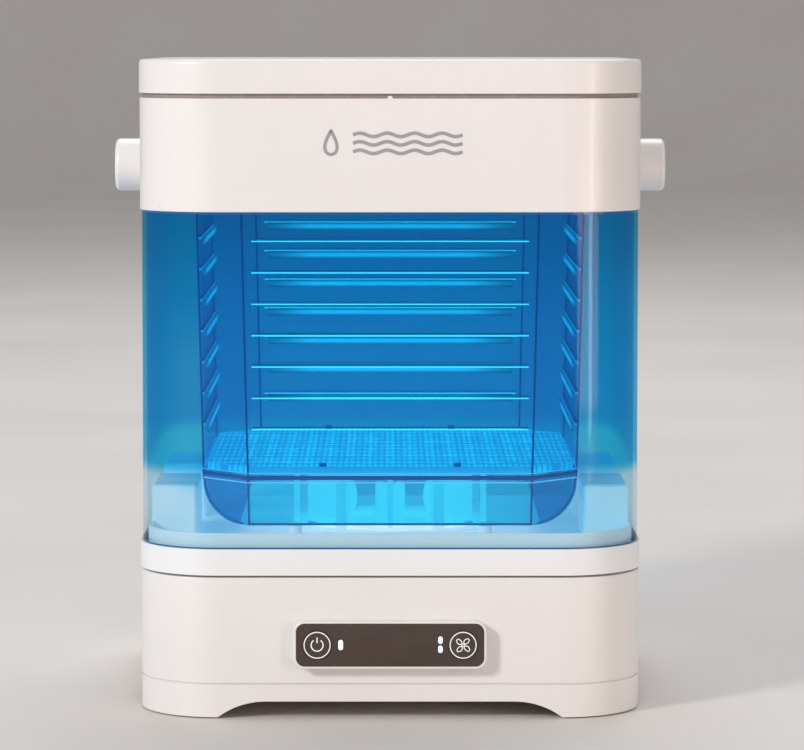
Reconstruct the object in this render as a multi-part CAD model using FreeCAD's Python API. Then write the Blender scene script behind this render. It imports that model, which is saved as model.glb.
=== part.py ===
import FreeCAD, Part
import math
import os

# Wash station: a square upright base with a motor, a clear lift-off bucket with a basket
# inside it, a bail handle and a lift-off lid.
# Millimetres. +Z is up, the front faces -Y, and the origin is on the table under the centre.

V = FreeCAD.Vector
UP = V(0, 0, 1)

# Outline of the whole station seen from above
HALF = 145.0
CORNER = 47.0
SHELL = 3.0

# Heights of the stacked pieces
FOOT_LIFT = 0.8
ARCH_TOP = 9.9
FOOT_TOP = 20.4
SEAM = 0.9
DECK_TOP = 81.0
PLATEAU_TOP = 83.0
RING_BOTTOM = 82.3
TRAY_FLOOR = 94.0
RING_TOP = 97.3
UPSTAND_TOP = 106.0
REST_SPOT = 95.0
BAND_BOTTOM = 289.5
BAND_TOP = 353.9
LID_BOTTOM = 356.7
LID_TOP = 376.0

# Floor of the base, its pads, its screws, and the boards above it
PAN_FLOOR = 15.4
FOOT_SPOT = 119.0
FOOT_R = 12.0
SCREW_SPOT = 95.0
PILLAR_SPOT = 42.0

# Steps beside the basket, on the floor of the bucket
STEP_NEAR = 113.0
STEP_FAR = 139.4
STEP_START = 25.0
STEP_END = 85.0
STEP_TOP = 127.0

# Arch cut into each side of the foot
ARCH_HALF = 99.5
ARCH_FLAT_HALF = 71.2

# Clear bucket wall
TANK_HALF = 143.6
TANK_WALL = 2.5
TANK_BOTTOM = 94.5
TANK_TOP = 300.0

# Basket
BASKET_TOP_HALF = 114.0
BASKET_LOW_HALF = 109.0
BASKET_WALL = 2.4
BASKET_FLAT = 87.0
SKIRT_ROUND = 23.0
CRADLE_TOP = 131.0
BASKET_BOTTOM = 106.3
BASKET_TOP = 326.0
BASKET_FLOOR = 140.0
LEDGE_BOTTOM = 132.0
FLOOR_THICK = 4.3
SLOT_COUNT = 7
SLOT_FIRST = 162.6
SLOT_PITCH = 18.2
SLOT_HEIGHT = 2.4
SLOT_HALF = 80.0
MESH_PITCH = 12.0
MESH_HOLE = 3.2
MESH_COUNT = 7

# Bail handle
PIVOT_Z = 311.8
BADGE_Z = 328.6
PIVOT_R = 4.0
HUB_R = 15.75
HUB_IN = 148.6
HUB_OUT = 165.7
BAIL_REACH = 171.0
BAIL_DROP = 7.5
BAIL_BEND = 20.0
ARM_X = 155.0
BAR_R = 6.5
GRIP_HALF = 55.0
HUB_RING_R = 13.0

# Control pod on the front
POD_HALF_X = 55.0
POD_LOW = 29.8
POD_HIGH = 57.0
POD_CORNER = 6.5
POD_FRONT = -152.0
FASCIA_HALF_X = 53.6
FASCIA_LOW = 31.2
FASCIA_HIGH = 55.9
FASCIA_CORNER = 5.0
FASCIA_FRONT = POD_FRONT + 0.1
FASCIA_BACK = POD_FRONT + 2.2
KEY_R = 8.15
KEY_GAP = 0.25
KEY_X = 41.5
KEY_Z = 43.6
KEY_TRAVEL = 0.5
KEY_FRONT = FASCIA_FRONT - 0.6
KEY_BACK = FASCIA_BACK + 1.4
SWITCH_FRONT = KEY_BACK + KEY_TRAVEL + 0.15

# Lamps on the panel: x, z, width and height of each
LAMPS = [(-28.1, 43.6, 2.6, 5.8), (28.6, 46.4, 2.4, 4.1), (28.6, 41.2, 2.4, 4.1)]

# Power inlet in the back
INLET_X = 51.0
INLET_Z = 41.0

# Drive
MOTOR_R = 29.0
CARRIER_R = 36.0
MAGNET_SPOT = 28.0
MAGNET_R = 5.0
IMPELLER_R = 42.0
BLADES = 4
PADDLE_NEAR = 20.0
PADDLE_FAR = 50.0
PADDLE_BOW = 19.0
PADDLE_TOP = 125.0
CAGE_R = 59.0
CAGE_TOP = 130.0
CAGE_POSTS = 6
PIN_R = 4.0
RUNNING_GAP = 0.05


def prism(half_x, half_y, radius, low, high):
    """Upright block with rounded vertical corners."""
    block = Part.makeBox(2 * half_x, 2 * half_y, high - low, V(-half_x, -half_y, low))
    upright = [e for e in block.Edges if abs(e.tangentAt(e.FirstParameter).z) > 0.9]
    return block.makeFillet(radius, upright)


def station_block(inset, low, high):
    """Block with the station's outline, moved in by an inset."""
    return prism(HALF - inset, HALF - inset, CORNER - inset, low, high)


def station_wall(outer_inset, inner_inset, low, high):
    """Wall that follows the station's outline between two insets."""
    return station_block(outer_inset, low, high).cut(station_block(inner_inset, low - 1, high + 1))


def post(x, y, radius, low, high):
    """Upright cylinder."""
    return Part.makeCylinder(radius, high - low, V(x, y, low))


def block(x0, x1, y0, y1, z0, z1):
    """Box between two corners."""
    return Part.makeBox(x1 - x0, y1 - y0, z1 - z0, V(x0, y0, z0))


def tube(x, y, outer, inner, low, high):
    """Upright tube."""
    return post(x, y, outer, low, high).cut(post(x, y, inner, low - 1, high + 1))


def turned(shape, angle, centre=V(0, 0, 0), axis=UP):
    """Copy of a shape turned about an axis."""
    copy = shape.copy()
    copy.rotate(centre, axis, angle)
    return copy


def around(shape, count, start=0.0):
    """Copies of a shape evenly round the centre."""
    return [turned(shape, start + 360.0 * i / count) for i in range(count)]


def round_flat_edges(shape, radius, height):
    """Rounds the edges that lie in the horizontal plane at a height."""
    level = [
        e
        for e in shape.Edges
        if abs(e.BoundBox.ZMin - height) < 1e-4 and abs(e.BoundBox.ZMax - height) < 1e-4
    ]
    return shape.makeFillet(radius, level)


def front_plate(half_x, low, high, corner, y_front, y_back):
    """Upright rounded rectangle facing the front."""
    middle = (low + high) / 2.0
    plate = prism(half_x, (high - low) / 2.0, corner, y_front, y_back)
    plate.rotate(V(0, 0, 0), V(1, 0, 0), -90)
    plate.translate(V(0, 0, middle))
    return plate


def along_front(x, z, radius, y_front, y_back):
    """Cylinder that runs from front to back."""
    return Part.makeCylinder(radius, y_back - y_front, V(x, y_front, z), V(0, 1, 0))


def round_front_edges(shape, radius, y):
    """Rounds the edges that lie in the upright plane at a distance from the middle."""
    level = [e for e in shape.Edges if abs(e.BoundBox.YMin - y) < 1e-4 and abs(e.BoundBox.YMax - y) < 1e-4]
    return shape.makeFillet(radius, level)


def write(name, shape):
    """Writes one piece; a group of separate solids is one compound."""
    solids = shape if isinstance(shape, list) else [shape]
    whole = solids[0] if len(solids) == 1 else Part.makeCompound(solids)
    if whole.ShapeType == "Compound" and len(whole.Solids) == 1:
        whole = whole.Solids[0]
    valid = all(s.isValid() for s in whole.Solids)
    whole.exportStep("parts/" + name + ".step")
    print(name, len(whole.Solids), "solids", round(whole.Volume / 1000, 2), "cm3", valid)


# ---------------------------------------------------------------- base


def arch_cutter():
    """Wide low arch with quarter-round ends, through the foot from front to back."""
    drop = ARCH_TOP + 1.0
    run = ARCH_HALF - ARCH_FLAT_HALF
    radius = (run * run + ARCH_TOP * ARCH_TOP) / (2 * ARCH_TOP)
    half_turn = 0.5 * math.asin(run / radius)
    mid_x = ARCH_FLAT_HALF + radius * math.sin(half_turn)
    mid_z = ARCH_TOP - radius * (1 - math.cos(half_turn))
    y = -HALF - 5
    right = Part.Arc(V(ARCH_FLAT_HALF, y, ARCH_TOP), V(mid_x, y, mid_z), V(ARCH_HALF, y, 0))
    left = Part.Arc(V(-ARCH_HALF, y, 0), V(-mid_x, y, mid_z), V(-ARCH_FLAT_HALF, y, ARCH_TOP))
    edges = [
        left.toShape(),
        Part.makeLine(V(-ARCH_FLAT_HALF, y, ARCH_TOP), V(ARCH_FLAT_HALF, y, ARCH_TOP)),
        right.toShape(),
        Part.makeLine(V(ARCH_HALF, y, 0), V(ARCH_HALF, y, -drop)),
        Part.makeLine(V(ARCH_HALF, y, -drop), V(-ARCH_HALF, y, -drop)),
        Part.makeLine(V(-ARCH_HALF, y, -drop), V(-ARCH_HALF, y, 0)),
    ]
    return Part.Face(Part.Wire(edges)).extrude(V(0, 2 * HALF + 10, 0))


def corner_spots(distance):
    """The four corners of a square."""
    return [(sx * distance, sy * distance) for sx in (-1, 1) for sy in (-1, 1)]


def circle_spots(radius, count, start):
    """Points evenly round a circle."""
    turn = [math.radians(start + 360.0 * i / count) for i in range(count)]
    return [(radius * math.cos(t), radius * math.sin(t)) for t in turn]


def make_base_pan():
    """Foot of the base: a rim with an arch in each side, and the floor that closes the housing."""
    pan = station_wall(0.4, 4.4, FOOT_LIFT, FOOT_TOP)
    pan = pan.fuse(station_block(4.0, PAN_FLOOR, FOOT_TOP))
    pan = pan.cut(station_wall(-1.0, 0.4 + SEAM, FOOT_TOP - SEAM, FOOT_TOP + 1))
    arch = arch_cutter()
    pan = pan.cut(arch).cut(turned(arch, 90))
    for x, y in corner_spots(FOOT_SPOT):
        pan = pan.fuse(post(x, y, FOOT_R, 3.0, PAN_FLOOR + 0.6))
    for x, y in corner_spots(SCREW_SPOT):
        pan = pan.cut(post(x, y, 1.9, 10.0, 22.0))
    for i in range(-4, 5):
        pan = pan.cut(block(i * 9 - 2, i * 9 + 2, 62, 96, 10, 22))
    return pan.removeSplitter()


def make_feet():
    """Four rubber pads under the corners."""
    return [post(x, y, FOOT_R - 3.0, 0.0, 3.0) for x, y in corner_spots(FOOT_SPOT)]


def make_base_screws():
    """Four pan-head screws that hold the floor to the housing."""
    screws = []
    for x, y in corner_spots(SCREW_SPOT):
        head = post(x, y, 3.4, PAN_FLOOR - 2.2, PAN_FLOOR)
        screws.append(head.fuse(post(x, y, 1.6, PAN_FLOOR - 0.4, 34.0)))
    return screws


def make_base_shell():
    """Housing of the base, open below, with the deck that carries the bucket."""
    shell = station_block(0.4, FOOT_TOP, DECK_TOP)
    shell = round_flat_edges(shell, 0.8, DECK_TOP)
    shell = shell.fuse(station_block(13.0, DECK_TOP - 1, PLATEAU_TOP))
    shell = shell.cut(station_block(0.4 + SHELL, FOOT_TOP - 1, DECK_TOP - SHELL))
    shell = shell.cut(post(0, 0, 52.0, DECK_TOP - SHELL - 1, PLATEAU_TOP - 2.2))
    for x, y in corner_spots(SCREW_SPOT):
        shell = shell.fuse(tube(x, y, 4.5, 1.6, FOOT_TOP, DECK_TOP - SHELL + 0.5))
    window = front_plate(FASCIA_HALF_X - 4, FASCIA_LOW + 3, FASCIA_HIGH - 3, 4, -HALF - 2, -HALF + 8)
    shell = shell.cut(window)
    shell = shell.cut(block(INLET_X - 7, INLET_X + 7, HALF - 8, HALF + 2, INLET_Z - 7, INLET_Z + 7))
    for column in range(5):
        for row in range(3):
            x = -70 + 12 * column
            z = 34 + 8 * row
            shell = shell.cut(block(x, x + 8, HALF - 8, HALF + 2, z, z + 3))
    return shell.removeSplitter()


def make_pod():
    """Raised frame of the control panel."""
    pod = front_plate(POD_HALF_X, POD_LOW, POD_HIGH, POD_CORNER, POD_FRONT, -HALF + 0.4)
    pod = round_front_edges(pod, 0.6, POD_FRONT)
    seat = front_plate(FASCIA_HALF_X, FASCIA_LOW, FASCIA_HIGH, FASCIA_CORNER, POD_FRONT - 1, FASCIA_BACK)
    well = front_plate(FASCIA_HALF_X - 3, FASCIA_LOW + 2, FASCIA_HIGH - 2, 3.5, POD_FRONT, -HALF + 2)
    return pod.cut(seat).cut(well)


def led_pill(x, z, width, height, y_front, y_back):
    """Small upright pill facing the front."""
    lamp = front_plate(width / 2, z - height / 2, z + height / 2, width / 2 - 0.01, y_front, y_back)
    lamp.translate(V(x, 0, 0))
    return lamp


def make_fascia():
    """Dark glossy inlay with round openings for the keys and pill openings for the lamps."""
    plate = front_plate(
        FASCIA_HALF_X - 0.1, FASCIA_LOW + 0.1, FASCIA_HIGH - 0.1, FASCIA_CORNER - 0.1,
        FASCIA_FRONT, FASCIA_BACK,
    )
    for side in (-1, 1):
        opening = along_front(side * KEY_X, KEY_Z, KEY_R + KEY_GAP, FASCIA_FRONT - 1, FASCIA_BACK + 1)
        plate = plate.cut(opening)
    for x, z, width, height in LAMPS:
        plate = plate.cut(led_pill(x, z, width, height, FASCIA_FRONT - 1, FASCIA_BACK + 1))
    return plate


def make_lamps():
    """Light guides of the indicator lamps."""
    return [led_pill(x, z, width, height, FASCIA_FRONT, -HALF - 2.4) for x, z, width, height in LAMPS]


def make_key(side):
    """Round key with a stem that presses its switch."""
    cap = along_front(side * KEY_X, KEY_Z, KEY_R, KEY_FRONT, FASCIA_BACK + 0.4)
    cap = round_front_edges(cap, 0.15, KEY_FRONT)
    stem = along_front(side * KEY_X, KEY_Z, 3.0, FASCIA_BACK + 0.3, KEY_BACK)
    return cap.fuse(stem)


def make_key_board():
    """Small circuit board behind the inlay with its two switches."""
    board = block(-48.5, 48.5, SWITCH_FRONT + 1.4, SWITCH_FRONT + 3.0, 35.0, 52.2)
    for x in (-KEY_X, KEY_X):
        switch = block(x - 3, x + 3, SWITCH_FRONT, SWITCH_FRONT + 1.5, KEY_Z - 3, KEY_Z + 3)
        board = board.fuse(switch)
    return board


def make_motor():
    """Motor can hanging under its plate, with the end boss."""
    can = post(0, 0, MOTOR_R, 24.0, 58.0)
    can = round_flat_edges(can, 2.0, 24.0)
    boss = tube(0, 0, 8.0, PIN_R + 0.6, 58.0, 61.0)
    return can.fuse(boss).cut(post(0, 0, PIN_R + 0.6, 40.0, 70.0))


def make_motor_plate():
    """Plate that hangs the motor from four pillars under the deck."""
    plate = prism(47.0, 47.0, 8.0, 58.0, 60.0)
    return plate.cut(post(0, 0, 8.2, 57.0, 61.5))


def make_motor_pillars():
    """Pillars between the motor plate and the deck."""
    return [post(x, y, 4.0, 60.0, DECK_TOP - SHELL) for x, y in corner_spots(PILLAR_SPOT)]


def make_carrier():
    """Magnet wheel on the motor shaft."""
    wheel = post(0, 0, CARRIER_R, 66.0, 72.0)
    wheel = wheel.fuse(post(0, 0, PIN_R, 44.0, 66.5))
    for x, y in circle_spots(MAGNET_SPOT, 4, 45.0):
        wheel = wheel.cut(post(x, y, MAGNET_R, 68.0, 73.0))
    return wheel


def make_drive_magnets():
    """Magnets set in the wheel on the motor shaft."""
    return [post(x, y, MAGNET_R, 68.0, 72.0) for x, y in circle_spots(MAGNET_SPOT, 4, 45.0)]


def make_main_board():
    """Control board lying on four stand-offs on the floor of the base."""
    board = block(-110, -45, -50, 40, 27.0, 28.6)
    for x in (-105, -50):
        for y in (-45, 35):
            board = board.fuse(post(x, y, 3.0, FOOT_TOP, 27.2))
    return board


def make_board_parts():
    """Capacitors, driver chips and connectors on the control board."""
    parts = [post(-98, 22, 5.0, 28.6, 44.0), post(-84, 22, 5.0, 28.6, 44.0)]
    parts.append(block(-100, -84, -20, -4, 28.6, 31.0))
    parts.append(block(-74, -60, -18, -6, 28.6, 38.6))
    parts.append(block(-100, -86, -46, -40, 28.6, 36.0))
    return parts


def make_dc_socket():
    """Power inlet in the back of the base."""
    reach = 6.9
    body = block(
        INLET_X - reach, INLET_X + reach, HALF - 14, HALF - 0.2, INLET_Z - reach, INLET_Z + reach
    )
    mouth = along_front(INLET_X, INLET_Z, 4.0, HALF - 10.2, HALF + 0.8)
    pin = along_front(INLET_X, INLET_Z, 1.0, HALF - 10.3, HALF - 1.3)
    return body.cut(mouth).fuse(pin)


# ---------------------------------------------------------------- bucket


def side_step(x_side, y_side):
    """Block beside the tank's side wall that keeps the basket from sliding sideways."""
    step = block(STEP_NEAR, STEP_FAR, STEP_START, STEP_END, TRAY_FLOOR - 0.5, STEP_TOP)
    near = [e for e in step.Edges if abs(e.BoundBox.XMax - STEP_NEAR) < 1e-4]
    step = step.makeFillet(2.5, [e for e in near if e.BoundBox.ZLength > 1])
    step = step.makeChamfer(1.2, [e for e in step.Edges if abs(e.BoundBox.ZMin - STEP_TOP) < 1e-4])
    if x_side < 0:
        step = step.mirror(V(0, 0, 0), V(1, 0, 0))
    if y_side < 0:
        step = step.mirror(V(0, 0, 0), V(0, 1, 0))
    return step


def make_tray():
    """Bottom of the bucket: ring, floor, drive cup, upstand inside the wall, side steps, rest posts."""
    tray = station_wall(0.0, 9.0, RING_BOTTOM, RING_TOP)
    tray = tray.fuse(station_block(8.0, TRAY_FLOOR - 3.0, TRAY_FLOOR))
    tray = tray.fuse(station_wall(4.6, 6.6, TRAY_FLOOR - 3, UPSTAND_TOP))
    tray = tray.cut(station_wall(1.2, 4.6, TANK_BOTTOM - 0.9, RING_TOP + 1))
    tray = tray.cut(station_block(9.0, RING_BOTTOM - 1, TRAY_FLOOR - 3.0))
    tray = tray.cut(post(0, 0, 46.0, TRAY_FLOOR - 4, TRAY_FLOOR + 1))
    cup = post(0, 0, 49.0, PLATEAU_TOP, TRAY_FLOOR)
    tray = tray.fuse(cup.cut(post(0, 0, 46.0, PLATEAU_TOP + 2.5, TRAY_FLOOR + 1)))
    for x, y in corner_spots(REST_SPOT):
        tray = tray.fuse(post(x, y, 7.0, PLATEAU_TOP, TRAY_FLOOR - 1))
    for x_side, y_side in corner_spots(1):
        tray = tray.fuse(side_step(x_side, y_side))
    for x in (-55, 55):
        for y in (-BASKET_LOW_HALF + 1.5, BASKET_LOW_HALF - 1.5):
            tray = tray.fuse(post(x, y, 4.0, TRAY_FLOOR - 1, BASKET_BOTTOM))
    return tray.removeSplitter()


def make_tank_wall():
    """Clear blue wall of the bucket."""
    return station_wall(HALF - TANK_HALF, HALF - TANK_HALF + TANK_WALL, TANK_BOTTOM, TANK_TOP)


def tank_seal(low, high):
    """Gasket on the edge of the clear wall."""
    return station_wall(HALF - TANK_HALF + 0.2, HALF - TANK_HALF + TANK_WALL - 0.2, low, high)


def make_tray_seal():
    """Gasket under the clear wall."""
    return tank_seal(TANK_BOTTOM - 0.9, TANK_BOTTOM)


def make_band_seal():
    """Gasket between the clear wall and the band."""
    return tank_seal(TANK_TOP, TANK_TOP + 1.0)


def make_band():
    """White band round the mouth of the bucket, with its two pivot bosses and the front pip."""
    band = station_wall(0.2, 4.4, BAND_BOTTOM, BAND_TOP)
    band = round_flat_edges(band, 0.5, BAND_BOTTOM)
    band = band.cut(station_block(HALF - TANK_HALF, BAND_BOTTOM - 1, TANK_TOP + 1.0))
    for side in (-1, 1):
        band = band.fuse(across(side, 12.0, HALF - 1, HUB_IN - 0.4))
        band = band.cut(across(side, 2.2, HALF - 8, HUB_IN + 1))
    pip = along_front(0, BAND_TOP, 1.6, -HALF + 0.6, -HALF + 1.8)
    return band.fuse(pip).removeSplitter()


def across(side, radius, x_in, x_out):
    """Cylinder on the handle's pivot axis, on one side."""
    return Part.makeCylinder(radius, x_out - x_in, V(side * x_in, 0, PIVOT_Z), V(side, 0, 0))


def make_pivot_screws():
    """Shoulder screws that the handle turns on."""
    screws = []
    for side in (-1, 1):
        shank = across(side, PIVOT_R, HUB_IN - 0.4, HUB_OUT - 5.6)
        thread = across(side, 2.2, HALF - 4.2, HUB_IN - 0.3)
        head = across(side, 7.0, HUB_OUT - 5.6, HUB_OUT - 4.0)
        screws.append(shank.fuse(thread).fuse(head))
    return screws


def make_impeller_pin():
    """Fixed pin in the drive cup that the impeller turns on."""
    pin = post(0, 0, PIN_R, PLATEAU_TOP + 2.5, 122.0)
    return round_flat_edges(pin, 0.8, 122.0)


def make_cage():
    """Guard over the impeller: a foot ring, posts, a top ring and spokes."""
    cage = tube(0, 0, CAGE_R, CAGE_R - 8, TRAY_FLOOR, TRAY_FLOOR + 2.5)
    cage = cage.fuse(tube(0, 0, CAGE_R, CAGE_R - 5, CAGE_TOP - 3, CAGE_TOP))
    cage = cage.fuse(tube(0, 0, 9.0, 5.0, CAGE_TOP - 3, CAGE_TOP))
    rail = block(-2.0, 2.0, 7.0, CAGE_R - 2, CAGE_TOP - 3, CAGE_TOP)
    upright = block(-3.5, 3.5, CAGE_R - 4, CAGE_R - 0.6, TRAY_FLOOR, CAGE_TOP)
    for piece in around(rail.fuse(upright), CAGE_POSTS, 30.0):
        cage = cage.fuse(piece)
    return cage.removeSplitter()


def make_cage_screws():
    """Three screws through the foot ring of the cage."""
    spots = circle_spots(CAGE_R - 4.5, 3, 90.0)
    return [post(x, y, 2.4, TRAY_FLOOR + 2.5, TRAY_FLOOR + 4.0) for x, y in spots]


def make_badge():
    """Plain drop beside three bars, standing a hair proud of the band."""
    y = -HALF + 0.2
    marks = [along_front(-34, BADGE_Z, 6.0, y - 0.3, y)]
    for row in (-1, 0, 1):
        z = BADGE_Z + row * 5.0
        bar = front_plate(29.0, z - 1.2, z + 1.2, 1.15, y - 0.3, y)
        bar.translate(V(11, 0, 0))
        marks.append(bar)
    return marks


# ---------------------------------------------------------------- impeller


def make_impeller():
    """Impeller: a disc in the drive cup, a hub, and paddles whose inner edges are rounded."""
    wheel = post(0, 0, IMPELLER_R, 87.0, 94.5)
    wheel = wheel.fuse(tube(0, 0, PADDLE_FAR, IMPELLER_R - 6, 94.6, 97.0))
    wheel = wheel.fuse(tube(0, 0, IMPELLER_R, IMPELLER_R - 6, 94.0, 95.0))
    wheel = wheel.fuse(post(0, 0, 9.0, 87.0, 118.0))
    blade = block(PADDLE_NEAR, PADDLE_FAR, -1.5, 1.5, 95.0, PADDLE_TOP)
    middle = (95.0 + PADDLE_TOP) / 2
    bow = Part.makeCylinder(PADDLE_BOW, 4.0, V(PADDLE_NEAR + PADDLE_BOW, -2.0, middle), V(0, 1, 0))
    blade = blade.common(bow)
    for piece in around(blade, BLADES):
        wheel = wheel.fuse(piece)
    wheel = wheel.cut(post(0, 0, 6.0, 80.0, 120.0))
    for x, y in circle_spots(MAGNET_SPOT, 4, 45.0):
        wheel = wheel.cut(post(x, y, MAGNET_R, 88.0, 92.0))
    return wheel.removeSplitter()


def make_impeller_magnets():
    """Magnets sealed inside the disc."""
    return [post(x, y, MAGNET_R - 0.1, 88.1, 91.9) for x, y in circle_spots(MAGNET_SPOT, 4, 45.0)]


def make_bush():
    """Plain bearing pressed into the impeller."""
    return tube(0, 0, 6.0, PIN_R + RUNNING_GAP, 86.2, 117.0)


# ---------------------------------------------------------------- basket


def basket_section(half, z):
    """Square outline with broad corner facets at one height."""
    flat = BASKET_FLAT - (BASKET_TOP_HALF - half)
    corners = [
        (flat, -half), (half, -flat), (half, flat), (flat, half),
        (-flat, half), (-half, flat), (-half, -flat), (-flat, -half),
    ]
    points = [V(x, y, z) for x, y in corners]
    return Part.makePolygon(points + [points[0]])


def basket_half(z):
    """Half width of the basket at a height."""
    share = (z - BASKET_BOTTOM) / (BASKET_TOP - BASKET_BOTTOM)
    return BASKET_LOW_HALF + share * (BASKET_TOP_HALF - BASKET_LOW_HALF)


def cradle(inset):
    """Block with its two long lower edges rounded, which gives the skirt its rounded sides."""
    half = basket_half(CRADLE_TOP) - inset
    low = BASKET_BOTTOM - 0.02
    lower = block(-half, half, -130, 130, low, CRADLE_TOP)
    edges = [
        e
        for e in lower.Edges
        if abs(e.tangentAt(e.FirstParameter).y) > 0.9 and abs(e.BoundBox.ZMax - low) < 1e-4
    ]
    lower = lower.makeFillet(SKIRT_ROUND - inset, edges)
    return lower.fuse(block(-130, 130, -130, 130, CRADLE_TOP - 0.5, LEDGE_BOTTOM + 1))


def basket_solid(inset, low, high):
    """Tapered block with the basket's outline, moved in by an inset."""
    outlines = [basket_section(basket_half(z) - inset, z) for z in (low, high)]
    return Part.makeLoft(outlines, True)


def skirt_solid(inset, low, high):
    """Basket outline with the rounded sides of the skirt, moved in by an inset."""
    return basket_solid(inset, low, high).common(cradle(inset))


def slot_cutters():
    """Long thin slots through two facing walls, one above the other."""
    cutters = []
    for row in range(SLOT_COUNT):
        z = SLOT_FIRST + row * SLOT_PITCH
        cutters.append(block(-SLOT_HALF, SLOT_HALF, -130, 130, z - SLOT_HEIGHT / 2, z + SLOT_HEIGHT / 2))
    return cutters


def make_basket():
    """Slotted walls of the basket, with the ledge that carries its floor."""
    walls = basket_solid(0.0, LEDGE_BOTTOM, BASKET_TOP)
    walls = walls.cut(basket_solid(BASKET_WALL, LEDGE_BOTTOM - 0.01, BASKET_TOP + 0.01))
    ledge = basket_solid(0.2, LEDGE_BOTTOM, BASKET_FLOOR - FLOOR_THICK)
    walls = walls.fuse(ledge.cut(basket_solid(9.0, LEDGE_BOTTOM - 1, BASKET_FLOOR)))
    for cutter in slot_cutters():
        walls = walls.cut(cutter)
        walls = walls.cut(turned(cutter, 90))
    return walls.removeSplitter()


def make_basket_skirt():
    """Skirt under the basket, with rounded lower sides."""
    skirt = skirt_solid(0.0, BASKET_BOTTOM, LEDGE_BOTTOM)
    return skirt.cut(skirt_solid(BASKET_WALL, BASKET_BOTTOM - 0.01, LEDGE_BOTTOM + 0.01))


def make_basket_rim():
    """Stiff lip round the top of the basket."""
    outer = basket_solid(-2.4, BASKET_TOP - 3, BASKET_TOP)
    return outer.cut(basket_solid(0.0, BASKET_TOP - 3.01, BASKET_TOP + 0.01))


def make_basket_floor():
    """Perforated floor plate of the basket."""
    plate = basket_solid(BASKET_WALL + 0.3, BASKET_FLOOR - FLOOR_THICK, BASKET_FLOOR)
    steps = [MESH_PITCH * i for i in range(-MESH_COUNT, MESH_COUNT + 1)]
    spots = [(x, y) for x in steps for y in steps if abs(x) + abs(y) < 150]
    holes = [post(x, y, MESH_HOLE, BASKET_FLOOR - 6, BASKET_FLOOR + 1) for x, y in spots]
    return plate.cut(Part.makeCompound(holes))


def make_floor_pegs():
    """Pegs that pin the floor plate to the basket's ledge."""
    spots = [(side * 39.0, end * 103.5) for side in (-1, 1) for end in (-1, 1)]
    return [post(x, y, 2.2, BASKET_FLOOR, BASKET_FLOOR + 2.0) for x, y in spots]


# ---------------------------------------------------------------- lid


def make_lid():
    """Lid: a shallow cap with a skirt that drops inside the band."""
    cap = station_block(-0.2, LID_BOTTOM, LID_TOP)
    cap = round_flat_edges(cap, 2.4, LID_TOP)
    cap = cap.cut(station_block(3.2, LID_BOTTOM - 1, LID_TOP - 3.0))
    skirt = station_wall(5.2, 7.4, BAND_TOP - 10.0, LID_TOP - 2.0)
    web = station_wall(3.0, 6.0, LID_BOTTOM, LID_BOTTOM + 2.4)
    return cap.fuse(skirt).fuse(web).removeSplitter()


def make_lid_seal():
    """Rubber gasket that the lid sits on."""
    return station_wall(2.0, 5.2, BAND_TOP, LID_BOTTOM)


# ---------------------------------------------------------------- handle


def bail_point(reach):
    """Point along the folded-back handle arm, at a distance from the pivot."""
    drop = math.radians(BAIL_DROP)
    return V(0, reach * math.cos(drop), PIVOT_Z - reach * math.sin(drop))


def arm(side):
    """Flat arm from the hub to the bend."""
    bar = Part.makeBox(6.0, BAIL_REACH - BAIL_BEND - 6.0, 12.0, V(-3.0, 8.0, -6.0))
    lengthways = [e for e in bar.Edges if abs(e.tangentAt(e.FirstParameter).y) > 0.9]
    bar = bar.makeFillet(2.0, lengthways)
    bar.rotate(V(0, 0, 0), V(1, 0, 0), -BAIL_DROP)
    bar.translate(V(side * ARM_X, 0, PIVOT_Z))
    return bar


def bail_bend(side):
    """Quarter turn from the cross bar into an arm."""
    end = bail_point(BAIL_REACH)
    start = bail_point(BAIL_REACH - BAIL_BEND)
    x = side * (ARM_X - BAIL_BEND)
    along = (end - start) * (1.0 / BAIL_BEND)
    section = Part.Face(Part.Wire(Part.Circle(V(x, end.y, end.z), V(1, 0, 0), BAR_R).toShape()))
    return section.revolve(V(x, start.y, start.z), along.cross(V(1, 0, 0)), 90 * side)


def make_bail():
    """Bail: two arms, two hub rings and the cross bar behind the bucket."""
    end = bail_point(BAIL_REACH)
    span = 2 * (ARM_X - BAIL_BEND)
    bail = Part.makeCylinder(BAR_R, span, V(-span / 2, end.y, end.z), V(1, 0, 0))
    for side in (-1, 1):
        bail = bail.fuse(bail_bend(side))
        bail = bail.fuse(arm(side))
        bail = bail.fuse(across(side, HUB_RING_R, HUB_IN, HUB_IN + 10.0))
        bail = bail.cut(across(side, PIVOT_R + RUNNING_GAP, HUB_IN - 2, HUB_OUT))
    return bail.removeSplitter()


def round_cap_edges(cap, radius, reach):
    """Rounds the edges that lie in the side plane at a distance from the middle."""
    return cap.makeFillet(radius, [e for e in cap.Edges if abs(abs(e.BoundBox.Center.x) - reach) < 1e-4])


def arm_clearance(side):
    """Notch in a hub cap that the arm leaves through."""
    notch = Part.makeBox(14.0, 30.0, 12.4, V(-7.0, 8.0, -6.2))
    notch.rotate(V(0, 0, 0), V(1, 0, 0), -BAIL_DROP)
    notch.translate(V(side * (ARM_X - 3.5), 0, PIVOT_Z))
    return notch


def make_hub_caps():
    """Round white caps over the pivots."""
    caps = []
    for side in (-1, 1):
        cap = across(side, HUB_R, HUB_IN, HUB_OUT)
        cap = round_cap_edges(cap, 2.6, HUB_OUT)
        cap = round_cap_edges(cap, 1.2, HUB_IN)
        cap = cap.cut(across(side, HUB_RING_R, HUB_IN - 1, HUB_OUT - 3.4))
        caps.append(cap.cut(arm_clearance(side)))
    return caps


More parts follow.
